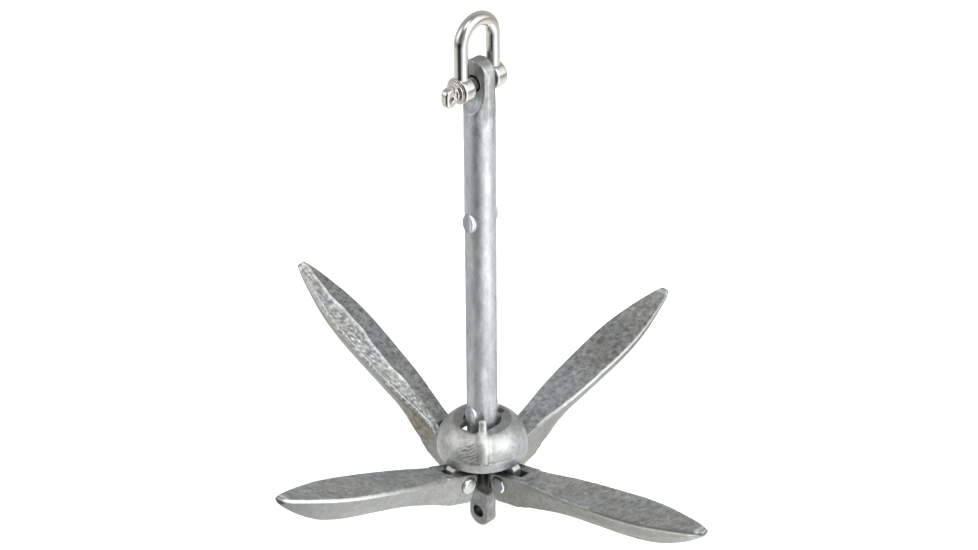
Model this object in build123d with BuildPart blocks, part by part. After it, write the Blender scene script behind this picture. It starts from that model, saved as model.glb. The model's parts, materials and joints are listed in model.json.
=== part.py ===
from build123d import *
from math import cos, radians, sin
import os

# Folding grapnel anchor, 18 mm shank, four hinged flukes, sliding lock collar and D-shackle.
# Frame: +Z up the shank, origin at the centre of the trip eye in the crown's lug, which is bored along X.
# The flukes point along -X, -Y, +X and +Y. Lengths are in millimetres, angles in degrees.

# --- driving dimensions -------------------------------------------------------------------------
shank_d = 18.0          # forged round shank
pivot_z = 33.0          # height of the four fluke hinges above the trip eye
pivot_r = 21.5          # distance of each hinge from the shank's axis
pin_height = 256.0      # shackle pin above the fluke hinges
shank_height = 269.8    # top of the shank above the fluke hinges

shank_r = shank_d / 2
shackle_pin_z = pivot_z + pin_height
shank_top_z = pivot_z + shank_height

# --- crown: square hub, four ears, trip-eye lug ---------------------------------------------------
hub_w = 16.0
hub_bottom_z = pivot_z - 14.0
hub_top_z = pivot_z + 14.0
ear_t = 6.2
ear_round_r = 7.0
ear_top_z = pivot_z + 11.7
lug_t = 8.4
lug_w = 15.2
lug_end_z = -2.4        # centre of the lug's rounded end
lug_into_hub = 3.0      # how far the lug's root reaches into the hub
trip_eye_r = 3.8
hub_round = 1.2
ear_root_drop = 12.5    # underside of the ears at the hub, below the hinges
ear_corner = 2.0
lug_round = 1.4

# --- shank details --------------------------------------------------------------------------------
tenon_d = 10.0
tenon_z = pivot_z - 6.0
eye_t = 9.0             # thickness of the flattened eye
eye_flat_z = shackle_pin_z - 2.0
eye_runout = 17.0       # height over which the round shank blends into the flats
nub_w = 8.4             # forged stop nubs, one pair above the collar and one pair half way up
nub_h = 12.0
nub_reach = 10.7        # from the shank's axis to a nub's face
base_nub_z = pivot_z + 39.3
mid_nub_z = pivot_z + 170.0
nub_round = 0.9
eye_round = 1.2

# --- lock collar ----------------------------------------------------------------------------------
collar_z = pivot_z + 12.0
collar_h = 21.0
collar_r = 27.0
collar_top_r = 17.8
collar_bore_r = 11.0
collar_wall = 4.0
collar_band_h = 6.5
collar_band_step = 0.5  # the band stands this much proud of the dome
collar_top_edge = 0.6   # the dome starts this far in from the top's nominal radius
dome_outside = (24.4, 14.2)  # radius, and height above the rim, half way up the dome
dome_inside = (20.4, 12.6)
keyway_r = 15.0
keyway_w = 12.0
keyway_turn = 6.0       # the keyways stand this far round from the stop nubs
rib_w = 5.2
rib_rise = 8.0          # height of the rib's thumb above the collar's top
rib_proud = 1.5
rib_crest = (25.6, 15.0)  # radius and height half way down the rib's back
thumb_gap = 0.3         # the thumb's inner face stands back from the bore
thumb_t = 2.6
thumb_corner = 1.2
rib_root = 2.0          # how deep the rib is rooted in the dome
rib_round = 1.0
keyway_round = 3.0

# --- flukes ---------------------------------------------------------------------------------------
rivet_d = 8.0
rivet_play = 0.1        # radial clearance of the rivet in the crown's ear
rivet_head_d = 10.6
rivet_head_h = {"left": 2.3, "front": 0.9, "right": 2.3, "back": 0.9}  # two rivets are set nearly flush
deck_h = 6.7            # flat inner face above the hinge axis
fork_w = 17.8
fork_slot_w = 6.8
fork_slot_end = 15.0
fork_inner = 7.0
fork_bottom = -12.0
blade_root = 19.0
bevel_h = 2.0           # bevel along the deck's edge: its height, and how far it leans out
bevel_out = 1.2
chine_out = 0.62        # the chine stands this share of the way from the keel to the deck's edge
chine_drop = 0.5        # and this share of the way down from the bevel to the keel
fork_round = 3.2
rivet_head_round = 0.8  # share of the head's height
# name: direction round the shank, and lift of the deck above level in the open position
fluke_seats = {
    "left": (180, 21.9),
    "front": (270, 12.3),
    "right": (0, 15.6),
    "back": (90, 28.0),
}
# distance from the hinge, half width of the deck, half width of the keel, height of the keel
blade_stations = [
    (blade_root, fork_w / 2 - bevel_out, 7.6, fork_bottom),
    (36.0, 9.6, 4.6, -10.8),
    (52.0, 11.4, 2.6, -11.3),
    (72.0, 12.4, 2.2, -12.0),
    (92.0, 12.8, 2.0, -12.6),
    (110.0, 12.0, 1.9, -11.8),
    (126.0, 9.4, 1.7, -8.4),
    (140.0, 6.1, 1.4, -3.2),
    (151.8, 1.7, 0.8, 3.2),
]

# --- shackle --------------------------------------------------------------------------------------
wire_d = 8.0
shackle_inside = 16.8
bow_height = 41.6       # pin centre to the outside of the bow
shackle_shift = -1.5    # the shackle rests a little to one side along its pin
boss_d = 15.6
boss_t = wire_d + 0.4
boss_round = 1.6
pin_d = 8.0
pin_play = 0.7          # loose hole for the shackle pin
pin_ring_d = 12.4
pin_ring_t = 1.4
pin_ring_round = 0.5
pin_neck = 1.0
pin_head_length = 7.2
pin_head_h = 11.4
pin_head_t = 5.5
pin_head_drop = 1.4     # the flat head hangs a little below the pin's axis
pin_head_edge = 1.6
pin_head_hole_r = 1.7
pin_head_round = 3.8
pin_tail = 0.8          # the pin's end beyond the far boss

cut_over = 1.0          # how far a cutting shape runs past the surface that it cuts
same = 0.01             # two lengths that differ by less than this are the same

os.makedirs("parts", exist_ok=True)


def save(piece, name):
    """Label a finished piece and write its STEP file."""
    piece.part.label = name
    export_step(piece.part, f"parts/{name}.step")


def upright_plane(azimuth, z=0.0):
    """Plane through the shank's axis: x outwards along the azimuth, y up."""
    out = Vector(cos(radians(azimuth)), sin(radians(azimuth)), 0)
    return Plane(origin=(0, 0, z), x_dir=out, z_dir=out.cross(Vector(0, 0, 1)))


def fluke_plane(azimuth, lift):
    """Plane at a fluke's hinge: x along the blade, y across it, z square to its deck."""
    flat = Vector(cos(radians(azimuth)), sin(radians(azimuth)), 0)
    up = Vector(0, 0, 1)
    out = flat * cos(radians(lift)) + up * sin(radians(lift))
    normal = up * cos(radians(lift)) - flat * sin(radians(lift))
    return Plane(origin=flat * pivot_r + up * pivot_z, x_dir=out, z_dir=normal)


# --- crown ----------------------------------------------------------------------------------------
with BuildPart() as crown:
    with BuildSketch(Plane.XY.offset(hub_bottom_z)):
        RectangleRounded(hub_w, hub_w, hub_round)
    extrude(amount=hub_top_z - hub_bottom_z)
    for azimuth, _ in fluke_seats.values():
        with BuildSketch(upright_plane(azimuth, pivot_z)):
            with BuildLine():
                Polyline(
                    (pivot_r, -ear_round_r),
                    (hub_w / 2, -ear_root_drop),
                    (0, -ear_root_drop),
                    (0, ear_top_z - pivot_z),
                    (pivot_r + ear_round_r - ear_corner, ear_top_z - pivot_z),
                    (pivot_r + ear_round_r, ear_top_z - pivot_z - ear_corner),
                    (pivot_r + ear_round_r, 0),
                )
                RadiusArc((pivot_r + ear_round_r, 0), (pivot_r, -ear_round_r), ear_round_r)
            make_face()
        extrude(amount=ear_t / 2, both=True)
    # lug with the trip eye
    with BuildSketch(Plane.YZ):
        with BuildLine():
            Polyline(
                (-lug_w / 2, lug_end_z),
                (-lug_w / 2, hub_bottom_z + lug_into_hub),
                (lug_w / 2, hub_bottom_z + lug_into_hub),
                (lug_w / 2, lug_end_z),
            )
            ThreePointArc((lug_w / 2, lug_end_z), (0, lug_end_z - lug_w / 2), (-lug_w / 2, lug_end_z))
        make_face()
    extrude(amount=lug_t / 2, both=True)
    lug_rim = crown.edges().filter_by_position(Axis.Z, lug_end_z - lug_w, hub_bottom_z - lug_round)
    fillet(lug_rim, lug_round)
    # bores: trip eye, fluke rivets and the socket for the shank's tenon
    with Locations(Plane.YZ):
        Cylinder(trip_eye_r, hub_w, mode=Mode.SUBTRACT)
    for azimuth, _ in fluke_seats.values():
        with Locations(upright_plane(azimuth, pivot_z) * Pos(pivot_r, 0, 0)):
            Cylinder(rivet_d / 2 + rivet_play, 2 * ear_t, mode=Mode.SUBTRACT)
    with BuildSketch(Plane.XY.offset(tenon_z)):
        Circle(tenon_d / 2)
    extrude(amount=hub_top_z - tenon_z, mode=Mode.SUBTRACT)
save(crown, "crown")

# --- shank ----------------------------------------------------------------------------------------
with BuildPart() as shank:
    with BuildSketch(Plane.XY.offset(hub_top_z)):
        Circle(shank_r)
    extrude(amount=shank_top_z - hub_top_z)
    with BuildSketch(Plane.XY.offset(tenon_z)):
        Circle(tenon_d / 2)
    extrude(amount=hub_top_z - tenon_z)
    # flats of the shackle eye, running out into the round shank
    runout_z = eye_flat_z - eye_runout
    with BuildSketch(Plane.XZ):
        for side in (1, -1):
            flat_x = side * eye_t / 2
            outside_x = side * (shank_r + cut_over)
            with BuildLine():
                TangentArc((flat_x, eye_flat_z), (outside_x, runout_z), tangent=(0, -1))
                Polyline(
                    (outside_x, runout_z),
                    (outside_x, shank_top_z + cut_over),
                    (flat_x, shank_top_z + cut_over),
                    (flat_x, eye_flat_z),
                )
            make_face()
    extrude(amount=shank_r + cut_over, both=True, mode=Mode.SUBTRACT)
    # rounded top of the eye
    with BuildSketch(Plane.YZ):
        with Locations((0, shank_top_z + cut_over)):
            Rectangle(shank_d + cut_over, shank_r + cut_over, align=(Align.CENTER, Align.MAX))
        with Locations((0, shank_top_z - shank_r)):
            Circle(shank_r, mode=Mode.SUBTRACT)
    extrude(amount=shank_r, both=True, mode=Mode.SUBTRACT)
    eye_rim = shank.edges().filter_by_position(Axis.Z, shank_top_z - shank_r + eye_round, shank_top_z)
    fillet(eye_rim, eye_round)
    with Locations(Plane.YZ * Pos(0, shackle_pin_z, 0)):
        Cylinder(pin_d / 2 + pin_play, shank_d, mode=Mode.SUBTRACT)
    # oval stop nubs on both sides
    with BuildSketch(Plane.YZ):
        with Locations((0, base_nub_z), (0, mid_nub_z)):
            Ellipse(nub_w / 2, nub_h / 2)
    extrude(amount=nub_reach, both=True)
    nub_rims = shank.edges().filter_by(GeomType.ELLIPSE).filter_by(
        lambda edge: abs(edge.center().X) > nub_reach - nub_round
    )
    fillet(nub_rims, nub_round)
save(shank, "shank")

# --- lock collar ----------------------------------------------------------------------------------
with BuildPart() as collar:
    top_z = collar_z + collar_h
    ceiling_z = top_z - collar_wall
    inner_r = collar_r - collar_wall
    inner_top_r = collar_top_r - collar_wall + collar_top_edge
    with BuildSketch(Plane.XZ):
        with BuildLine():
            Polyline(
                (collar_bore_r, ceiling_z),
                (collar_bore_r, top_z),
                (collar_top_r - collar_top_edge, top_z),
            )
            ThreePointArc(
                (collar_top_r - collar_top_edge, top_z),
                (dome_outside[0], collar_z + dome_outside[1]),
                (collar_r - collar_band_step, collar_z + collar_band_h),
            )
            Polyline(
                (collar_r - collar_band_step, collar_z + collar_band_h),
                (collar_r, collar_z + collar_band_h),
                (collar_r, collar_z),
                (inner_r, collar_z),
                (inner_r, collar_z + collar_band_h),
            )
            ThreePointArc(
                (inner_r, collar_z + collar_band_h),
                (dome_inside[0], collar_z + dome_inside[1]),
                (inner_top_r, ceiling_z),
            )
            Line((inner_top_r, ceiling_z), (collar_bore_r, ceiling_z))
        make_face()
    revolve(axis=Axis.Z)
    # raised ribs, each ending in a thumb beside the shank
    thumb_r = collar_bore_r + thumb_gap
    thumb_top = collar_h + rib_rise
    rib_back_r = collar_r + rib_proud
    for azimuth in (45, 225):
        rib_plane = upright_plane(azimuth, collar_z)
        with BuildPart() as rib:
            with BuildSketch(rib_plane):
                with BuildLine():
                    Polyline(
                        (thumb_r, collar_h - rib_root),
                        (thumb_r, thumb_top - thumb_corner),
                        (thumb_r + thumb_corner, thumb_top),
                        (thumb_r + thumb_t, thumb_top),
                        (collar_top_r, collar_h + rib_proud),
                    )
                    ThreePointArc(
                        (collar_top_r, collar_h + rib_proud),
                        rib_crest,
                        (rib_back_r, collar_band_h),
                    )
                    Polyline(
                        (rib_back_r, collar_band_h),
                        (collar_r - rib_root, collar_band_h - rib_root),
                        (dome_outside[0] - rib_root, dome_outside[1]),
                        (thumb_r, collar_h - rib_root),
                    )
                make_face()
            extrude(amount=rib_w / 2, both=True)
            # round the edges along the rib's back and the thumb's outer slope
            back_rims = [
                edge
                for edge in rib.edges()
                for middle in [rib_plane.to_local_coords(edge.center())]
                if edge.length > rib_w and middle.X + middle.Y > collar_top_r + collar_h
            ]
            fillet(back_rims, rib_round)
    # keyways that let the collar pass the stop nubs
    with BuildSketch(Plane.XY.offset(collar_z)):
        with Locations(Rot(0, 0, keyway_turn)):
            RectangleRounded(2 * keyway_r, keyway_w, keyway_round)
    extrude(amount=collar_h + cut_over, mode=Mode.SUBTRACT)
save(collar, "lock_collar")

# --- flukes and their rivets ------------------------------------------------------------------------
for side, (azimuth, lift) in fluke_seats.items():
    seat = fluke_plane(azimuth, lift)
    side_view = Plane(origin=seat.origin, x_dir=seat.x_dir, z_dir=-seat.y_dir)
    with BuildPart() as fluke:
        # forked root
        with BuildSketch(side_view):
            with BuildLine():
                FilletPolyline(
                    (blade_root, deck_h),
                    (-fork_inner, deck_h),
                    (-fork_inner, fork_bottom),
                    (blade_root, fork_bottom),
                    radius=fork_round,
                )
                Line((blade_root, fork_bottom), (blade_root, deck_h))
            make_face()
        extrude(amount=fork_w / 2, both=True)
        # blade with a flat deck and a keel like a boat's hull
        bevel_z = deck_h - bevel_h
        for station, deck_half, keel_half, keel_h in blade_stations:
            section = Plane(origin=seat.origin + seat.x_dir * station, x_dir=seat.y_dir, z_dir=seat.x_dir)
            side_half = deck_half + bevel_out
            chine_half = keel_half + chine_out * (side_half - keel_half)
            chine_z = bevel_z + chine_drop * (keel_h - bevel_z)
            with BuildSketch(section):
                with BuildLine():
                    Polyline(
                        (deck_half, deck_h),
                        (-deck_half, deck_h),
                        (-side_half, bevel_z),
                        (-chine_half, chine_z),
                        (-keel_half, keel_h),
                        (keel_half, keel_h),
                        (chine_half, chine_z),
                        (side_half, bevel_z),
                        close=True,
                    )
                make_face()
        loft()
        # slot for the crown's ear, and the rivet hole
        slot_length = fork_slot_end + fork_inner + cut_over
        with BuildSketch(seat.offset(fork_bottom - cut_over)):
            with Locations((fork_slot_end, 0)):
                Rectangle(slot_length, fork_slot_w, align=(Align.MAX, Align.CENTER))
        extrude(amount=deck_h - fork_bottom + 2 * cut_over, mode=Mode.SUBTRACT)
        with Locations(side_view):
            Cylinder(rivet_d / 2, fork_w + 2 * cut_over, mode=Mode.SUBTRACT)
    save(fluke, f"fluke_{side}")

    with BuildPart() as rivet:
        with Locations(side_view):
            Cylinder(rivet_d / 2, fork_w)
        for face_side in (1, -1):
            with BuildSketch(side_view.offset(face_side * fork_w / 2)):
                Circle(rivet_head_d / 2)
            extrude(amount=face_side * rivet_head_h[side])
        head_rims = rivet.edges().filter_by(GeomType.CIRCLE).sort_by(
            lambda edge: abs((edge.center() - seat.origin).dot(seat.y_dir))
        )
        fillet(head_rims[-2:], rivet_head_round * rivet_head_h[side])
    save(rivet, f"rivet_{side}")

# --- shackle bow ----------------------------------------------------------------------------------
leg_x = (shackle_inside + wire_d) / 2
bow_centre_z = shackle_pin_z + bow_height - wire_d / 2 - leg_x
with BuildPart() as bow:
    with BuildLine() as bow_line:
        Line((shackle_shift - leg_x, 0, shackle_pin_z), (shackle_shift - leg_x, 0, bow_centre_z))
        ThreePointArc(
            (shackle_shift - leg_x, 0, bow_centre_z),
            (shackle_shift, 0, bow_centre_z + leg_x),
            (shackle_shift + leg_x, 0, bow_centre_z),
        )
        Line((shackle_shift + leg_x, 0, bow_centre_z), (shackle_shift + leg_x, 0, shackle_pin_z))
    with BuildSketch(Plane.XY.offset(shackle_pin_z)):
        with Locations((shackle_shift - leg_x, 0)):
            Circle(wire_d / 2)
    sweep()
    for side in (-1, 1):
        boss_middle = Plane.YZ.offset(shackle_shift + side * leg_x) * Pos(0, shackle_pin_z, 0)
        with Locations(boss_middle):
            Cylinder(boss_d / 2, boss_t)
    boss_rims = bow.edges().filter_by(GeomType.CIRCLE).filter_by(
        lambda edge: abs(edge.radius - boss_d / 2) < same and abs(edge.center().Z - shackle_pin_z) < same
    )
    fillet(boss_rims, boss_round)
    with BuildSketch(Plane.YZ.offset(shackle_shift)):
        with Locations((0, shackle_pin_z)):
            Circle(pin_d / 2)
    extrude(amount=shackle_inside, both=True, mode=Mode.SUBTRACT)
save(bow, "shackle_bow")

# --- shackle pin ----------------------------------------------------------------------------------
near_face_x = shackle_shift - leg_x - boss_t / 2
far_face_x = shackle_shift + leg_x + boss_t / 2
head_x = near_face_x - pin_ring_t - pin_neck
with BuildPart() as pin:
    with BuildSketch(Plane.YZ.offset(head_x)):
        with Locations((0, shackle_pin_z)):
            Circle(pin_d / 2)
    extrude(amount=far_face_x + pin_tail - head_x)
    with BuildSketch(Plane.YZ.offset(near_face_x - pin_ring_t)):
        with Locations((0, shackle_pin_z)):
            Circle(pin_ring_d / 2)
    extrude(amount=pin_ring_t)
    ring_rims = pin.edges().filter_by(GeomType.CIRCLE).filter_by(
        lambda edge: abs(edge.radius - pin_ring_d / 2) < same
    )
    fillet(ring_rims, pin_ring_round)
    with BuildPart() as pin_head:
        with BuildSketch(Plane.XZ):
            with Locations((head_x + cut_over, shackle_pin_z - pin_head_drop)):
                RectangleRounded(
                    pin_head_length + cut_over, pin_head_h, pin_head_round, align=(Align.MAX, Align.CENTER)
                )
        extrude(amount=pin_head_t / 2, both=True)
        fillet(pin_head.faces().sort_by(Axis.Y)[0].edges(), pin_head_edge)
        fillet(pin_head.faces().sort_by(Axis.Y)[-1].edges(), pin_head_edge)
    with Locations(Plane.XZ * Pos(head_x - pin_head_length / 2, shackle_pin_z - pin_head_drop, 0)):
        Cylinder(pin_head_hole_r, 2 * pin_head_t, mode=Mode.SUBTRACT)
save(pin, "shackle_pin")
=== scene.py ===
import json
import math

import bmesh
import bpy
import numpy as np
from mathutils import Matrix, Vector, noise


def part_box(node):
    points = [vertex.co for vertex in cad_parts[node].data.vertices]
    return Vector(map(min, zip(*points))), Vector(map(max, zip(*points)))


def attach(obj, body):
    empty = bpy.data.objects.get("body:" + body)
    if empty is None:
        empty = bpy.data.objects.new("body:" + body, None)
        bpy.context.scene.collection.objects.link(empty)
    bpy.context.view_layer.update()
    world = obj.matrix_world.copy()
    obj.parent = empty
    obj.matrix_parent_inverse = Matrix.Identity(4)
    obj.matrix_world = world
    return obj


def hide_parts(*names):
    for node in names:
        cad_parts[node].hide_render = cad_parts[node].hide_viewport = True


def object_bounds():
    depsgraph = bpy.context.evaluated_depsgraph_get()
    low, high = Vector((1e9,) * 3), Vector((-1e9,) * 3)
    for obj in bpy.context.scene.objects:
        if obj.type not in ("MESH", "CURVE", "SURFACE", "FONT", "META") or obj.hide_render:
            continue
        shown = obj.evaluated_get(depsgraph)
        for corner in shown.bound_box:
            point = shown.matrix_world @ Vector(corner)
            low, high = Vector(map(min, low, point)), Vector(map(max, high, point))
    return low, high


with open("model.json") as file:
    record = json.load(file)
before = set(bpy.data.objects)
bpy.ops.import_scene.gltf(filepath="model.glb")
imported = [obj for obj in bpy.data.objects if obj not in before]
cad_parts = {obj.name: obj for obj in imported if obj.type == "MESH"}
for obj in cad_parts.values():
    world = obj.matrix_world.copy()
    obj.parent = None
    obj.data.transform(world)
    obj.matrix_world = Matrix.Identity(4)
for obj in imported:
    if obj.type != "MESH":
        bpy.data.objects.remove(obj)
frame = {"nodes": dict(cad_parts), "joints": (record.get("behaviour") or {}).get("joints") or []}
cad_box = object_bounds()

# A folding grapnel anchor, hot-dip galvanised. Metres, +Z up the shank, trip eye at the origin.
# Places and depths on a surface are worked out in mm.
MM = 0.001

# --- camera and light directions ------------------------------------------------------------------
CAMERA_TURN = math.radians(46.37)      # the camera looks this far round from +Y towards +X
CAMERA_DROP = math.radians(31.87)      # and this far down
CAMERA_ROLL = math.radians(-0.38)
CAMERA_DISTANCE = 1.450
CAMERA_LENS = 94.07
SENSOR_WIDTH = 36.0
AIM_HEIGHT = 0.1650                    # the point aimed at, above the trip eye
AIM_SIDE = 0.0046                      # and to the right of the shank's axis

FORWARD = Vector((math.sin(CAMERA_TURN), math.cos(CAMERA_TURN), 0))
RIGHT = Vector((math.cos(CAMERA_TURN), -math.sin(CAMERA_TURN), 0))
UP = Vector((0, 0, 1))


def direction(side, height):
    """Unit vector from the object: side degrees to the right of the camera, height degrees up."""
    s, h = math.radians(side), math.radians(height)
    return math.cos(h) * (RIGHT * math.sin(s) - FORWARD * math.cos(s)) + UP * math.sin(h)


# --- node material helpers ------------------------------------------------------------------------
class Tree:
    """A short way to write a node tree."""

    def __init__(self, owner):
        owner.use_nodes = True
        self.tree = owner.node_tree
        self.tree.nodes.clear()

    def node(self, kind, inputs=None, **settings):
        made = self.tree.nodes.new(kind)
        for key, value in settings.items():
            setattr(made, key, value)
        for key, value in (inputs or {}).items():
            if isinstance(value, bpy.types.NodeSocket):
                self.tree.links.new(value, made.inputs[key])
            else:
                made.inputs[key].default_value = value
        return made

    def math(self, operation, a, b, c=0.0, clamp=False):
        made = self.node("ShaderNodeMath", {0: a, 1: b, 2: c}, operation=operation, use_clamp=clamp)
        return made.outputs[0]

    def noise(self, vector, scale, detail, roughness, distortion=0.0):
        inputs = {
            "Vector": vector,
            "Scale": scale,
            "Detail": detail,
            "Roughness": roughness,
            "Distortion": distortion,
        }
        return self.node("ShaderNodeTexNoise", inputs).outputs["Fac"]

    def span(self, value, low, high, to_low=0.0, to_high=1.0):
        inputs = {
            "Value": value,
            "From Min": low,
            "From Max": high,
            "To Min": to_low,
            "To Max": to_high,
        }
        return self.node("ShaderNodeMapRange", inputs, clamp=True).outputs["Result"]

    def mix(self, factor, a, b, blend="MIX"):
        made = self.node("ShaderNodeMix", data_type="RGBA", blend_type=blend)
        for socket, value in ((made.inputs[0], factor), (made.inputs[6], a), (made.inputs[7], b)):
            if isinstance(value, bpy.types.NodeSocket):
                self.tree.links.new(value, socket)
            else:
                socket.default_value = value
        return made.outputs[2]

    def attribute(self, name):
        return self.node("ShaderNodeAttribute", attribute_name=name).outputs["Fac"]

    def metal(self, colour, metallic, roughness, height, strength, depth):
        """Ends the tree with a metal shader, whose small relief is depth mm high at strength 1."""
        relief = {"Height": height, "Strength": strength, "Distance": depth * MM}
        bump = self.node("ShaderNodeBump", relief).outputs["Normal"]
        surface = {"Base Color": colour, "Metallic": metallic, "Roughness": roughness, "Normal": bump}
        shader = self.node("ShaderNodeBsdfPrincipled", surface).outputs[0]
        self.node("ShaderNodeOutputMaterial", {"Surface": shader})


# --- metals ---------------------------------------------------------------------------------------
CAST_TINTS = ((0.94, 0.98, 1.0, 1), (0.985, 1.0, 0.955, 1))       # cool and warm patches
FORGED_TINTS = ((0.925, 0.955, 1.0, 1), (0.965, 0.98, 0.99, 1))
BROWN_STAIN = (0.25, 0.225, 0.15, 1)
RUST_SPOT = (0.23, 0.115, 0.035, 1)
STEEL_COOL = (0.53, 0.535, 0.54, 1)
STEEL_WARM = (0.58, 0.57, 0.535, 1)
STEEL_CLOUD = (0.33, 0.335, 0.335, 1)
STEEL_GRAZING_SHEEN = (0.8, 0.775, 0.7, 1)
ZINC_METALLIC = 0.92
ZINC_DARKEST = 0.02
ZINC_BRIGHTEST = 0.93
RUN_AND_HIGHLIGHT_LIFT = 0.9                         # how much brighter a thick run or a painted highlight is
SHADE_AND_DULL_DEPTH = 0.88                    # how much darker full painted shade, or a dull or worn patch, is

# What a casting's surface tells its material, for each point and from 0 to 1.
MARKS = ("zinc_run_and_highlight", "stain", "rust", "painted_shade_and_dull", "rough_cast")


def zinc(name, level, contrast, rough, relief=0.16, stretch=(1, 1, 1), tints=CAST_TINTS):
    """Hot-dip zinc: cloudy patches, crystal spangle, grain, bright thick runs and painted highlights,
    and painted shade with dull and worn patches.
    """
    material = bpy.data.materials.new(name)
    t = Tree(material)
    place = t.node("ShaderNodeTexCoord").outputs["Object"]
    place = t.node("ShaderNodeMapping", {"Vector": place, "Scale": stretch}).outputs["Vector"]
    patches = t.noise(place, scale=70.0, detail=3.0, roughness=0.55, distortion=0.4)
    mottle = t.noise(place, scale=260.0, detail=4.0, roughness=0.66, distortion=0.3)
    grain = t.noise(place, scale=1000.0, detail=3.0, roughness=0.7)
    cells = t.node("ShaderNodeTexVoronoi", {"Vector": place, "Scale": 420.0, "Randomness": 1.0})
    spangle = t.node("ShaderNodeSeparateColor", {"Color": cells.outputs["Color"]}).outputs["Red"]
    run_and_highlight = t.attribute("zinc_run_and_highlight")
    stain = t.attribute("stain")
    painted_shade_and_dull = t.attribute("painted_shade_and_dull")
    strength = t.span(t.attribute("rough_cast"), 0.0, 1.0, 0.4 * contrast, 1.25 * contrast)
    # brightness of the metal, to which each pattern adds its share
    value = 0.0
    for pattern, share in ((patches, 0.5), (mottle, 1.5), (grain, 1.1), (spangle, 0.3)):
        value = t.math("MULTIPLY_ADD", t.math("SUBTRACT", pattern, 0.5), share, value)
    value = t.math("MULTIPLY_ADD", value, strength, 1.0)
    # thick zinc runs, and painted highlights, brighten the metal
    value = t.math("MULTIPLY_ADD", run_and_highlight, RUN_AND_HIGHLIGHT_LIFT, value)
    value = t.math("MULTIPLY", value, level)
    # painted shade, and dull and worn tones, darken it
    unshaded = t.math("SUBTRACT", 1.0, t.math("MULTIPLY", painted_shade_and_dull, SHADE_AND_DULL_DEPTH))
    value = t.math("MULTIPLY", value, unshaded)
    value = t.math("MINIMUM", t.math("MAXIMUM", value, ZINC_DARKEST), ZINC_BRIGHTEST)
    grey = t.node("ShaderNodeCombineColor", {"Red": value, "Green": value, "Blue": value}).outputs[0]
    # cool and warm patches, brown stains and rust
    warmth = t.span(t.noise(place, scale=31.0, detail=2.0, roughness=0.5), 0.38, 0.62)
    tint = t.mix(warmth, *tints)
    colour = t.mix(1.0, grey, tint, "MULTIPLY")
    stain_cover = t.math("MULTIPLY", stain, t.span(mottle, 0.35, 0.6), clamp=True)
    colour = t.mix(stain_cover, colour, BROWN_STAIN)
    rust = t.math("MULTIPLY", t.attribute("rust"), t.span(grain, 0.35, 0.6), clamp=True)
    colour = t.mix(rust, colour, RUST_SPOT)
    # roughness and small relief
    polish = t.math("ADD", mottle, t.math("MULTIPLY", run_and_highlight, -0.25))
    roughness = t.span(polish, 0.3, 0.7, *rough)
    roughness = t.math("MULTIPLY_ADD", stain_cover, 0.25, roughness, clamp=True)
    height = t.math("MULTIPLY", t.math("MULTIPLY_ADD", grain, 0.4, mottle), strength)
    t.metal(colour, ZINC_METALLIC, roughness, height, strength=0.6, depth=relief)
    return material


def bright_steel(name):
    """Bright plated steel with faint handling marks, and a painted sheen toward its grazing edges."""
    material = bpy.data.materials.new(name)
    t = Tree(material)
    place = t.node("ShaderNodeTexCoord").outputs["Object"]
    clouds = t.noise(place, scale=130.0, detail=4.0, roughness=0.6)
    fine = t.noise(place, scale=900.0, detail=3.0, roughness=0.6)
    warmth = t.span(t.noise(place, scale=60.0, detail=2.0, roughness=0.5), 0.4, 0.6)
    colour = t.mix(warmth, STEEL_COOL, STEEL_WARM)
    colour = t.mix(t.span(clouds, 0.35, 0.75, 0.0, 0.45), colour, STEEL_CLOUD)
    # painted sheen where the surface turns away from the view
    edge = t.node("ShaderNodeLayerWeight", {"Blend": 0.5}).outputs["Facing"]
    colour = t.mix(t.span(edge, 0.24, 0.5), colour, STEEL_GRAZING_SHEEN)
    roughness = t.span(t.math("MULTIPLY_ADD", fine, 0.4, clouds), 0.45, 0.95, 0.07, 0.17)
    t.metal(colour, 1.0, roughness, fine, strength=0.12, depth=0.1)
    return material


# --- meshes ---------------------------------------------------------------------------------------
def lumps(points, size, seed, stretch=(1, 1, 1)):
    """Smooth noise from -1 to 1 with features of about that size, in metres."""
    offset = Vector((seed * 7.31, seed * 3.17, seed * 5.03))
    scaled = points / (size * np.array(stretch))
    return np.array([noise.noise(Vector(p) + offset) for p in scaled])


def ramp(x, low, high):
    """0 below low, 1 above high, smooth between them."""
    share = np.clip((x - low) / (high - low), 0, 1)
    return share * share * (3 - 2 * share)


def bell(x, middle, width):
    """1 at the middle, and about a third of that one width away."""
    return np.exp(-(((x - middle) / width) ** 2))


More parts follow.
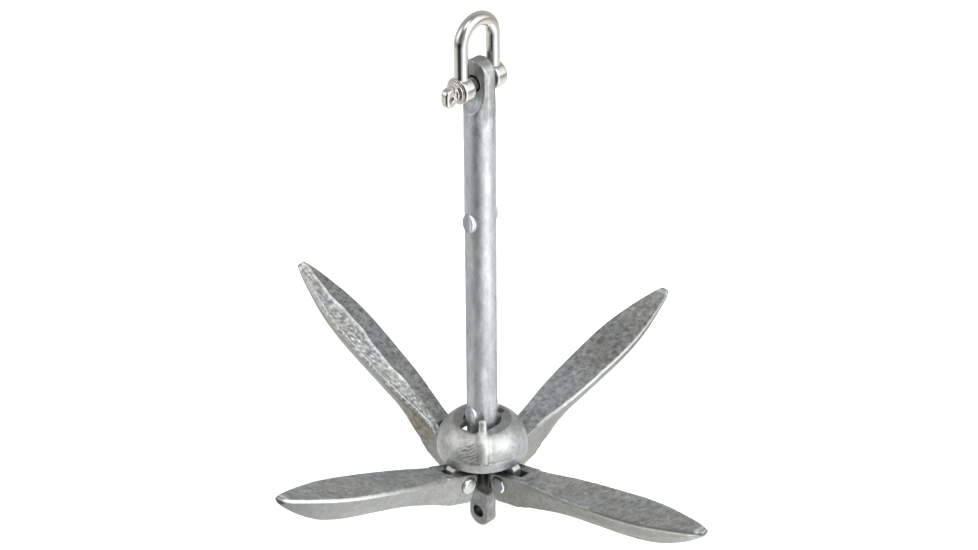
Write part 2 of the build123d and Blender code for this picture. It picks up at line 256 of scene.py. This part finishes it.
class Casting:
    """A dense copy of a CAD node with its edges rounded, whose surface can then be worked."""

    def __init__(self, node, voxel, rounding):
        self.node = node
        mesh = frame["nodes"][node].data.copy()
        solid = bmesh.new()
        solid.from_mesh(mesh)
        bmesh.ops.remove_doubles(solid, verts=solid.verts, dist=0.01 * MM)
        solid.to_mesh(mesh)
        solid.free()
        rough = bpy.data.objects.new(f"{node}_rough", mesh)
        bpy.context.scene.collection.objects.link(rough)
        remesh = rough.modifiers.new("dense", "REMESH")
        remesh.mode = "VOXEL"
        remesh.voxel_size = voxel
        wrap = rough.modifiers.new("wrap", "SHRINKWRAP")
        wrap.target = frame["nodes"][node]
        soften = rough.modifiers.new("soften", "SMOOTH")
        soften.factor = 0.5
        soften.iterations = rounding
        evaluated = rough.evaluated_get(bpy.context.evaluated_depsgraph_get())
        self.mesh = bpy.data.meshes.new_from_object(evaluated)
        bpy.data.objects.remove(rough)
        self.mesh.name = f"{node}_surface"
        self.mesh.materials.clear()
        self.mesh.shade_smooth()
        self.points = self.read(self.mesh.attributes["position"].data)

    def read(self, vectors):
        values = np.zeros(len(vectors) * 3, np.float32)
        vectors.foreach_get("vector", values)
        return values.reshape(-1, 3).astype(float)

    def move_to(self, points):
        self.points = points
        self.mesh.attributes["position"].data.foreach_set("vector", points.astype(np.float32).ravel())
        self.mesh.update()

    def raise_by(self, height):
        """Moves the surface out along its normals by a height in metres for each point."""
        self.move_to(self.points + self.read(self.mesh.vertex_normals) * height[:, None])

    def soften(self, share, times):
        """Rounds the surface off by its share, by moving each point toward its neighbours."""
        ends = np.zeros(len(self.mesh.edges) * 2, np.int32)
        self.mesh.edges.foreach_get("vertices", ends)
        one, other = ends.reshape(-1, 2).T
        count = np.bincount(ends, minlength=len(self.points))[:, None]
        points = self.points
        for _ in range(times):
            total = np.zeros_like(points)
            np.add.at(total, one, points[other])
            np.add.at(total, other, points[one])
            points = points + (total / count - points) * (0.6 * share[:, None])
        self.move_to(points)

    def mark(self, name, values):
        """Stores one of the MARKS, with a value for each point."""
        layer = self.mesh.attributes.new(name, "FLOAT", "POINT")
        layer.data.foreach_set("value", np.clip(values, 0, 1).astype(np.float32))

    def place(self, name, body, slot, material):
        for unmarked in [mark for mark in MARKS if mark not in self.mesh.attributes]:
            self.mark(unmarked, np.zeros(len(self.points)))
        piece = bpy.data.objects.new(name, self.mesh)
        bpy.context.scene.collection.objects.link(piece)
        self.mesh.materials.append(material)
        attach(piece, body)
        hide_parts(self.node)


def cast_skin(casting, seed, coarse=0.10, fine=0.05):
    """The uneven skin of a galvanised casting in mm, kept just under the CAD surface."""
    height = coarse * lumps(casting.points, 9 * MM, seed)
    height = height + fine * lumps(casting.points, 2.6 * MM, seed + 1)
    casting.raise_by((height - 0.5 * (coarse + fine)) * MM)


# --- flukes ---------------------------------------------------------------------------------------
# On a blade, s runs from the hinge to the tip, v across it and h square to its deck, all in mm.
SIDES = ("left", "front", "right", "back")
BLADE_TIP = 150                        # s of the tip
FORK_SLOT = 3.3                        # half the gap between the fork's cheeks
DECK_EDGE = (0.35, 1.1)                # depth under the deck where its edge starts and ends
RIDGE_HEIGHT = 0.95
THICK_ZINC_RELIEF = 0.5
PIT_DEPTH = 0.06
DECK_SINK = 0.22                       # keeps the worked deck under the CAD surface

# How the flukes differ, from 0 to 1: worn darkens the bare deck and dull the hull, brown_neck stains
# the neck over a width of neck mm, olive stains the hull, and skin is how rough the deck's zinc looks.
FLUKE_LOOKS = {
    "left": {"worn": 0.08, "dull": 0.0, "brown_neck": 0.25, "neck": 14, "olive": 0.1, "skin": 0.7},
    "front": {"worn": 0.06, "dull": 0.3, "brown_neck": 0.5, "neck": 14, "olive": 0.55, "skin": 0.7},
    "right": {"worn": 0.1, "dull": 0.1, "brown_neck": 0.5, "neck": 14, "olive": 0.3, "skin": 0.95},
    "back": {"worn": 0.4, "dull": 0.3, "brown_neck": 1.0, "neck": 18, "olive": 0.25, "skin": 0.95},
}


def fluke_axes(joint):
    """Hinge point, along the blade, across it and square to its deck. Folded up, it stands upright."""
    hinge = Vector(joint["pos_m"])
    flat = Vector((hinge.x, hinge.y, 0)).normalized()
    lift = math.radians(90 - joint["range_deg"][1])
    along = flat * math.cos(lift) + UP * math.sin(lift)
    square = UP * math.cos(lift) - flat * math.sin(lift)
    return hinge, along, square.cross(along), square


def deck_zinc(side, s, v, half):
    """Ridge of the thick zinc on a deck, and how much of each point it covers."""
    if side == "back":
        middle = 0.9 * np.sin(s / 9.0) + 0.3 * np.sin(s / 3.1) - 0.02 * (s - 90)
        ridge = bell(v, middle, 0.8) * ramp(s, 40, 56) * (1 - ramp(s, BLADE_TIP - 4, BLADE_TIP))
        bead = bell(v, half - 2.3, 0.8) * ramp(s, 14, 22) * (1 - ramp(s, 138, 146))
        return np.maximum(ridge, bead), ramp(v, middle - 0.2, middle + 0.9)
    phase = 4 if side == "left" else 5
    middle = half * 0.45 + 0.9 * np.sin(s / 7.0 + phase)
    return 0 * s, 0.35 * bell(s, 78, 26) * ramp(v, middle - 1.0, middle + 1.0)


def bevel_highlight_and_shade(side, s, v, drop):
    """Painted highlight and painted shade along one bevel. drop is the depth under the deck."""
    if side == "left":
        near = ramp(v, 0, 1) * ramp(s, 35, 110)
        return near * ramp(drop, 0.1, 0.5) * (1 - ramp(drop, 1.8, 2.4)), 0 * s
    if side == "front":
        near = ramp(-v, 0, 1) * ramp(s, 62, 90)
        return near * bell(drop, 2.3, 0.6), 0.85 * near * bell(drop, 0.9, 0.8)
    if side == "back":
        near = ramp(v, 0, 1) * ramp(s, 20, 40) * (1 - ramp(drop, 0.8, 1.6))
        return 0.3 * near, 0.25 * near
    near = ramp(-v, 0, 1)
    dark = near * ramp(s, 50, 120) * (0.35 + 0.4 * ramp(drop, 1.3, 2.0))
    return 0.6 * near * ramp(s, 30, 60) * bell(drop, 1.2, 0.6), dark


def half_width(s, v):
    """Half the blade's width at each point, from the widest point in each 2 mm of its length."""
    bins = np.clip((s - s.min()) / 2.0, 0, None).astype(int)
    widest = np.zeros(bins.max() + 1)
    np.maximum.at(widest, bins, np.abs(v))
    return widest[bins]


def hull_dullness(side, s):
    """The front and back hulls are duller at the neck than farther out."""
    dull = FLUKE_LOOKS[side]["dull"]
    if side == "front":
        return dull * (1 - 0.25 * ramp(s, 82, 95))
    if side == "back":
        return dull * (1 - 0.9 * ramp(s, 40, 65))
    return dull


def make_fluke(side, joint, material):
    looks = FLUKE_LOOKS[side]
    seed = 11 + 5 * SIDES.index(side)
    blade = Casting(f"fluke_{side}", voxel=0.55 * MM, rounding=4)
    hinge, along, across, square = fluke_axes(joint)
    local = blade.points - np.array(hinge)
    s = local @ np.array(along) / MM
    v = local @ np.array(across) / MM
    h = local @ np.array(square) / MM
    drop = np.percentile(h, 99) - h
    half = half_width(s, v)
    on_deck = 1 - ramp(drop, *DECK_EDGE)
    hull = 1 - on_deck
    # shape: the neck rounded off, then thick zinc and pits on the deck, then the skin all over
    blade.soften(bell(s, 19, 7) * ramp(drop, 0.3, 2.5) * ramp(s, 12, 16), 40)
    ridge, cover = deck_zinc(side, s, v, half)
    blade_points = np.stack([s, v, h], 1) * MM
    rough_zinc = lumps(blade_points, 1.6 * MM, seed + 2, (1.6, 1, 1))
    pits = lumps(blade_points, 1.5 * MM, seed + 4)
    lift = RIDGE_HEIGHT * ridge + THICK_ZINC_RELIEF * cover * rough_zinc + PIT_DEPTH * pits
    blade.raise_by((on_deck * lift - DECK_SINK * on_deck) * MM)
    cast_skin(blade, seed)
    # bright thick zinc on the ridge and deck, and a painted highlight along the bevel and on the tip
    rim = ramp(np.abs(v), half - 3.2, half - 1.8) * (1 - ramp(s, BLADE_TIP - 3, BLADE_TIP))
    bright, dark = bevel_highlight_and_shade(side, s, v, drop)
    strip = 0.55 * cover * (0.25 + 0.75 * ramp(rough_zinc, -0.2, 0.5))
    run_and_highlight = np.maximum(on_deck * np.maximum(ridge, strip), rim * bright)
    tip_highlight = bell(s, BLADE_TIP - 1.5, 1.6) * (1 - ramp(drop, 1.0, 2.0))
    blade.mark("zinc_run_and_highlight", np.maximum(run_and_highlight, tip_highlight))
    # painted shade between the cheeks, under the collar, on the tip's face, in the thick zinc's
    # hollows, along the bevel and at the slot's end; darker worn decks and dull hulls
    worn = looks["worn"]
    if side == "right":
        worn = worn + 0.26 * bell(s, 98, 30)
    between_cheeks = (1 - ramp(np.abs(v), FORK_SLOT, FORK_SLOT + 0.4)) * (1 - ramp(s, 15.2, 16.5))
    dark_places = [
        0.95 * between_cheeks * ramp(drop, 0.4, 2.0),
        0.45 * (1 - ramp(s, 2, 12)) * (1 - ramp(np.abs(v), 7.6, 8.4)),          # painted shade under the collar
        0.75 * ramp(s, BLADE_TIP - 1, BLADE_TIP + 1) * ramp(drop, 0.8, 1.8),    # painted shade on the tip's face
        on_deck * (1 - cover) * worn,
        on_deck * cover * ramp(-rough_zinc, 0.15, 0.5) * 0.4,                   # painted shade in the thick zinc's hollows
        hull_dullness(side, s) * hull,
        rim * dark,
    ]
    if side == "back":
        # painted shade at the end of the back fluke's slot
        slot_end = ramp(s, 12, 14) * (1 - ramp(s, 18, 19)) * (1 - ramp(np.abs(v), 2.8, 3.4))
        dark_places.append(0.95 * slot_end)
    blade.mark("painted_shade_and_dull", np.maximum.reduce(dark_places))
    blade.mark("rough_cast", np.maximum(looks["skin"] * on_deck, 0.15))
    # stains on the neck and hull, and a rust spot at the right fluke's slot
    neck = bell(s, 26, looks["neck"]) * hull * looks["brown_neck"]
    if side != "back":
        neck = neck * ramp(lumps(blade_points, 7 * MM, seed + 3), -0.6, 0.1)
    olive = looks["olive"] * hull * (1 - 0.3 * ramp(s, 82, 95))
    blade.mark("stain", np.maximum(neck, olive))
    if side == "right":
        blade.mark("rust", bell(s, 16.5, 2.2) * bell(v, 0, 3.4))
    blade.place(f"fluke_{side}_casting", f"fluke_{side}", "galvanised_casting", material)


# --- the other castings and forgings --------------------------------------------------------------
# Angles are degrees round the shank from +X, heights are mm above the collar's foot.
FRONT_SIDE = 226                       # at the collar's front rib
STROKE_SIDE = 207
BAND_TOP = 6.9
COLLAR_RADIUS = 20                     # at mid height
STROKE_PITCH = 1.9
STROKE_HEIGHT = 0.22
STROKE_SINK = 0.2
GROOVE_DEPTH = 0.28


def make_collar(material):
    collar = Casting("lock_collar", voxel=0.5 * MM, rounding=3)
    low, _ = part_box("lock_collar")
    x, y, z = collar.points.T / MM
    z = z - low.z / MM
    around = np.degrees(np.arctan2(y, x)) % 360
    radius = np.hypot(x, y)
    off_rib = (x - y) / math.sqrt(2)
    beside = np.abs(off_rib)
    outside = ramp(radius, 17.5, 19.5)
    facing = bell(around, FRONT_SIDE, 30)
    # the ribs flare at the foot and are rounded off, and the band's edge fades away from the front
    flare = bell(beside, 3.1, 1.0) * ramp(radius, 16, 19) * ramp(z, 5, 8)
    collar.raise_by(0.55 * flare * MM)
    collar.soften((1 - ramp(beside, 4.0, 5.5)) * ramp(radius, 10, 12) * ramp(z, 7.5, 9), 34)
    collar.soften((1 - facing) * bell(z, BAND_TOP, 2.4) * outside, 40)
    # wavering slanted strokes left of the front rib, and a groove over the band
    arc = np.radians(around) * COLLAR_RADIUS
    waver = 3.5 * lumps(collar.points, 3.0 * MM, 41)
    strokes = np.sin(2 * math.pi * (z - 0.5 * arc) / STROKE_PITCH + waver)
    strokes = strokes * (0.55 + 0.45 * lumps(collar.points, 2 * MM, 42))
    stroked = outside * bell(around, STROKE_SIDE, 12) * bell(z, 12, 7) * ramp(beside, 3.0, 4.5)
    groove = outside * bell(z, BAND_TOP, 0.45) * facing
    lift = STROKE_HEIGHT * stroked * strokes - GROOVE_DEPTH * groove - STROKE_SINK * stroked
    collar.raise_by(lift * MM)
    cast_skin(collar, 43, coarse=0.07, fine=0.035)
    # painted highlight along the rib, and brighter stroke crests
    rib_light = bell(beside, 0.6, 1.4) * outside * ramp(z, 7.5, 10) * 0.35
    collar.mark("zinc_run_and_highlight", np.maximum(0.6 * stroked * ramp(strokes, 0.1, 0.7), rib_light))
    collar.mark("stain", 0.45 * (1 - ramp(radius, 15, 18)) * bell(around, 150, 45))
    top_ring = ramp(z, 20.2, 20.7) * (1 - ramp(radius, 17.0, 17.6)) * ramp(beside, 2.6, 3.4)
    # painted shade in the groove over the band, in the bore, on the flat top ring and beside the rib;
    # darker between the strokes
    dark_places = [
        0.5 * outside * bell(z, BAND_TOP, 0.5) * facing,
        (1 - ramp(radius, 10.9, 11.6)) * (1 - ramp(z, 20.4, 21)),       # the bore
        0.3 * top_ring,
        0.6 * stroked * ramp(-strokes, 0.1, 0.6),                       # darker between the strokes
        0.5 * bell(off_rib, -3.3, 0.9) * outside * ramp(z, 7, 9),       # shade beside the rib
    ]
    collar.mark("painted_shade_and_dull", np.maximum.reduce(dark_places))
    collar.mark("rough_cast", 0.25 + 0.4 * stroked)
    collar.place("lock_collar_casting", "collar", "galvanised_casting", material)


def make_crown(material):
    crown = Casting("crown", voxel=0.6 * MM, rounding=3)
    cast_skin(crown, 51)
    crown.mark("zinc_run_and_highlight", 0.25 * ramp(lumps(crown.points, 5 * MM, 53), 0.0, 0.5))
    crown.mark("stain", 0.3 * ramp(lumps(crown.points, 6 * MM, 54), 0.1, 0.5))
    x, y, z = crown.points.T / MM
    reach = np.hypot(x, y)
    from_eye = np.hypot(y, z)
    # the lug has painted shade, darkest on its sides; the eye has a darker ring and painted shade in
    # its hole; painted shade between the ears, where little light gets
    lug = (1 - ramp(z, 14, 18)) * np.where(np.abs(x) > 3.9, 0.55, 0.3)
    eye = 0.6 * bell(from_eye, 5.0, 1.1) + 0.95 * (1 - ramp(from_eye, 3.9, 4.3))
    eye = eye * (np.abs(x) < 5)
    between_ears = ramp(z, 12, 17) * (1 - ramp(reach, 17, 27))
    crown.mark("painted_shade_and_dull", np.maximum.reduce([between_ears, lug, eye]))
    crown.mark("rough_cast", np.full(len(z), 0.5))
    crown.place("crown_casting", "anchor", "galvanised_casting", material)


def joint_height(name):
    return next(joint for joint in frame["joints"] if joint["name"] == name)["pos_m"][2]


SHANK_RADIUS = 9.0


def make_shank(material):
    shank = Casting("shank", voxel=0.6 * MM, rounding=2)
    cast_skin(shank, 61, coarse=0.05, fine=0.02)
    x, y, z = shank.points.T / MM
    below_pin = joint_height("shackle_swing") / MM - z
    nubs = ramp(np.abs(x), SHANK_RADIUS, SHANK_RADIUS + 0.8)
    runs = ramp(lumps(shank.points, 6 * MM, 63, (1, 1, 4)), 0.2, 0.6)
    # painted highlight on the nubs' right rims, and random thick zinc runs
    shank.mark("zinc_run_and_highlight", np.maximum(0.6 * nubs * ramp(-y, 1.0, 3.0), 0.25 * runs))
    # painted shade on the eye's flat faces and where they run out into the round shank
    flat = 0.45 * (1 - ramp(np.abs(x), 4.6, 5.6)) * (1 - ramp(below_pin, 17, 23))
    inside_round = SHANK_RADIUS - np.hypot(x, y)
    run_out = 0.62 * ramp(inside_round, 0.2, 0.7) * bell(below_pin, 17, 4.5)
    eye_shade = np.maximum(flat, run_out) * np.where(np.abs(y) < SHANK_RADIUS - 0.4, 1, 0.4)
    # and painted shade on the nubs' left parts
    shank.mark("painted_shade_and_dull", np.maximum(eye_shade, 0.4 * nubs * (1 - ramp(-y, 0.0, 2.0))))
    shank.mark("rough_cast", 1 - 0.5 * ramp(below_pin, 24, 34))
    shank.place("shank_forging", "anchor", "galvanised_shank", material)


def make_rivet(side, joint, material):
    """Left and right a proud rivet, front and back a flush one, painted dark as shade with a painted
    highlight on one edge.
    """
    rivet = Casting(f"rivet_{side}", voxel=0.4 * MM, rounding=4)
    cast_skin(rivet, 71, coarse=0.04, fine=0.02)
    if side in ("front", "back"):
        hinge, along, _, square = fluke_axes(joint)
        local = (rivet.points - np.array(hinge)) / MM
        s, h = local @ np.array(along), local @ np.array(square)
        rim = ramp(np.hypot(s, h), 3.6, 4.4)
        crescent = s - 0.3 * h
        # a painted highlight on a crescent of the rim, and painted shade over the rest of the head
        rivet.mark("zinc_run_and_highlight", rim * ramp(crescent, 2.4, 3.6))
        shade = np.maximum(0.8, 0.97 * rim * ramp(h - 0.2 * s, 1.0, 2.5))
        rivet.mark("painted_shade_and_dull", shade * (1 - rim * ramp(crescent, 2.4, 3.4)))
    rivet.mark("rough_cast", np.full(len(rivet.points), 0.2))
    rivet.place(f"rivet_{side}_set", f"fluke_{side}", "rivet_steel", material)


def make_shackle(material):
    bow = Casting("shackle_bow", voxel=0.4 * MM, rounding=4)
    bow.place("shackle_bow_forging", "shackle", "shackle_steel", material)
    pin = Casting("shackle_pin", voxel=0.35 * MM, rounding=8)
    pin.place("shackle_pin_forging", "shackle", "shackle_steel", material)


# --- stage ----------------------------------------------------------------------------------------
# Bright cards and dark flags round the object: degrees to the right of the camera, and how many
# degrees to each side of that they are full and where they end. The rest are strengths of light.
FLOOR_CARD = (50, 8, 34)
FLOOR_CARD_GLOW = 1.3
FLOOR_FLAG = (-27, 16, 35)
FLOOR_SIDE_FLAG = (-95, 30, 55)
FLOOR_SIDE_FLAG_LOSS = 0.36
FLOOR_LIFT = 0.55                      # light that the floor adds to its paint
WALL_GLOW = 0.5
WALL_CARD = (66, 15, 46)
WALL_CARD_GLOW = 1.4
WALL_SIDE_CARD = (-82, 10, 35)
WALL_SIDE_CARD_GLOW = 0.7
WALL_FLAG = (-26, 8, 30)
WALL_FLAG_LOSS = 0.6
CEILING_GLOW = 0.55
SOFTBOX = direction(-12, 66)
SOFTBOX_FULL = math.radians(10)        # how far from its middle it is full
SOFTBOX_END = math.radians(24)
SOFTBOX_GLOW = 1.5
BACKDROP = 0.98                        # what the camera sees behind the object
WHITE = (1, 1, 1, 1)
FLOOR_PAINT = (0.94, 0.94, 0.94, 1)
FLOOR_REACH = 6.0


def lobe(t, vector, side, inner, outer):
    """1 toward that side of the object within inner degrees, 0 beyond outer."""
    flat = t.node("ShaderNodeVectorMath", {0: vector, 1: (1, 1, 0)}, operation="MULTIPLY").outputs[0]
    flat = t.node("ShaderNodeVectorMath", {0: flat}, operation="NORMALIZE").outputs[0]
    toward = t.node("ShaderNodeVectorMath", {0: flat, 1: direction(side, 0)}, operation="DOT_PRODUCT")
    edge = (math.cos(math.radians(outer)), math.cos(math.radians(inner)))
    return t.span(toward.outputs["Value"], *edge)


def make_floor(height):
    """A pale floor, which metal mirrors as glowing cards and flags that start a little way out."""
    mesh = bpy.data.meshes.new("floor")
    ends = (-FLOOR_REACH, FLOOR_REACH)
    corners = [(x, y, height) for y in ends for x in ends]
    mesh.from_pydata(corners, [], [(0, 1, 3, 2)])
    floor = bpy.data.objects.new("floor", mesh)
    bpy.context.scene.collection.objects.link(floor)
    material = bpy.data.materials.new("pale_floor")
    t = Tree(material)
    place = t.node("ShaderNodeNewGeometry").outputs["Position"]
    far = t.node("ShaderNodeVectorMath", {0: place}, operation="LENGTH").outputs["Value"]
    apart = t.span(far, 0.11, 0.2)
    card = t.math("MULTIPLY", lobe(t, place, *FLOOR_CARD), apart)
    glow = t.math("MULTIPLY_ADD", card, FLOOR_CARD_GLOW, t.span(far, 0.35, 1.3, 1.0, 0.5))
    close_by = t.math("MULTIPLY", apart, t.span(far, 0.33, 0.45, 1.0, 0.0))
    side_flag = t.math("MULTIPLY", lobe(t, place, *FLOOR_SIDE_FLAG), close_by)
    glow = t.math("MULTIPLY", glow, t.math("MULTIPLY_ADD", side_flag, -FLOOR_SIDE_FLAG_LOSS, 1.0))
    flag = t.math("MULTIPLY", lobe(t, place, *FLOOR_FLAG), apart)
    depth = t.span(far, 0.2, 0.55, 0.66, 0.93)
    glow = t.math("MULTIPLY", glow, t.math("SUBTRACT", 1.0, t.math("MULTIPLY", flag, depth)))
    mirrored = t.node("ShaderNodeEmission", {"Color": WHITE, "Strength": glow})
    paint = t.node("ShaderNodeBsdfDiffuse", {"Color": FLOOR_PAINT})
    lit = t.node("ShaderNodeEmission", {"Color": WHITE, "Strength": FLOOR_LIFT})
    plain = t.node("ShaderNodeAddShader", {0: paint.outputs[0], 1: lit.outputs[0]})
    glossy = t.node("ShaderNodeLightPath").outputs["Is Glossy Ray"]
    seen = t.node("ShaderNodeMixShader", {0: glossy, 1: plain.outputs[0], 2: mirrored.outputs[0]})
    t.node("ShaderNodeOutputMaterial", {"Surface": seen.outputs[0]})
    mesh.materials.append(material)


def make_world():
    """A white backdrop for the camera, and a studio of cards for light and reflections."""
    world = bpy.data.worlds.new("studio")
    bpy.context.scene.world = world
    t = Tree(world)
    ray = t.node("ShaderNodeTexCoord").outputs["Generated"]
    ray = t.node("ShaderNodeVectorMath", {0: ray}, operation="NORMALIZE").outputs[0]
    height = t.node("ShaderNodeSeparateXYZ", {0: ray}).outputs["Z"]
    cards = t.math("MULTIPLY_ADD", lobe(t, ray, *WALL_CARD), WALL_CARD_GLOW, WALL_GLOW)
    cards = t.math("MULTIPLY_ADD", lobe(t, ray, *WALL_SIDE_CARD), WALL_SIDE_CARD_GLOW, cards)
    unflagged = t.math("MULTIPLY_ADD", lobe(t, ray, *WALL_FLAG), -WALL_FLAG_LOSS, 1.0)
    cards = t.math("MULTIPLY", cards, unflagged)
    ceiling = t.span(height, 0.5, 0.95)
    glow = t.node("ShaderNodeMix", {0: ceiling, 2: cards, 3: CEILING_GLOW}).outputs[0]
    overhead = t.node("ShaderNodeVectorMath", {0: ray, 1: SOFTBOX}, operation="DOT_PRODUCT")
    softbox = t.span(overhead.outputs["Value"], math.cos(SOFTBOX_END), math.cos(SOFTBOX_FULL))
    glow = t.math("MULTIPLY_ADD", softbox, SOFTBOX_GLOW, glow)
    camera = t.node("ShaderNodeLightPath").outputs["Is Camera Ray"]
    seen = t.node("ShaderNodeMix", {0: camera, 2: glow, 3: BACKDROP}).outputs[0]
    background = t.node("ShaderNodeBackground", {"Color": WHITE, "Strength": seen})
    t.node("ShaderNodeOutputWorld", {"Surface": background.outputs[0]})


def make_light(name, side, height, distance, width, radiance, target):
    """A square area light. side and height are its direction from the target, in degrees."""
    data = bpy.data.lights.new(name, "AREA")
    data.size = width
    data.energy = radiance * math.pi * width * width
    lamp = bpy.data.objects.new(name, data)
    bpy.context.scene.collection.objects.link(lamp)
    back = direction(side, height)
    lamp.location = target + back * distance
    lamp.rotation_euler = (-back).to_track_quat("-Z", "Y").to_euler()


def make_camera():
    data = bpy.data.cameras.new("camera")
    data.lens = CAMERA_LENS
    data.sensor_width = SENSOR_WIDTH
    camera = bpy.data.objects.new("camera", data)
    bpy.context.scene.collection.objects.link(camera)
    back = direction(0, math.degrees(CAMERA_DROP))
    up = back.cross(RIGHT)
    turn = Matrix((RIGHT, up, back)).transposed() @ Matrix.Rotation(CAMERA_ROLL, 3, "Z")
    aim = RIGHT * AIM_SIDE + UP * AIM_HEIGHT
    camera.matrix_world = Matrix.Translation(aim + back * CAMERA_DISTANCE) @ turn.to_4x4()
    bpy.context.scene.camera = camera


cast_zinc = zinc("cast_zinc", level=0.47, contrast=1.0, rough=(0.40, 0.56))
collar_zinc = zinc("collar_zinc", level=0.50, contrast=0.9, rough=(0.36, 0.50))
shank_zinc = zinc(
    "shank_zinc",
    level=0.55,
    contrast=0.6,
    rough=(0.36, 0.50),
    relief=0.12,
    stretch=(1, 1, 0.4),
    tints=FORGED_TINTS,
)
rivet_zinc = zinc("rivet_zinc", level=0.75, contrast=0.6, rough=(0.2, 0.34))
shackle_plate = bright_steel("shackle_plate")

joint_of = {joint["child"]: joint for joint in frame["joints"]}
for side in SIDES:
    make_fluke(side, joint_of[f"fluke_{side}"], cast_zinc)
    make_rivet(side, joint_of[f"fluke_{side}"], rivet_zinc)
make_collar(collar_zinc)
make_crown(cast_zinc)
make_shank(shank_zinc)
make_shackle(shackle_plate)

make_camera()
make_world()
make_floor(cad_box[0].z)
middle = Vector((0, 0, (cad_box[0].z + cad_box[1].z) / 2))
make_light("key", side=54, height=34, distance=1.5, width=1.4, radiance=1.2, target=middle)
make_light("fill", side=-75, height=30, distance=1.8, width=1.0, radiance=0.8, target=middle)
bpy.context.scene.view_settings.view_transform = "Standard"
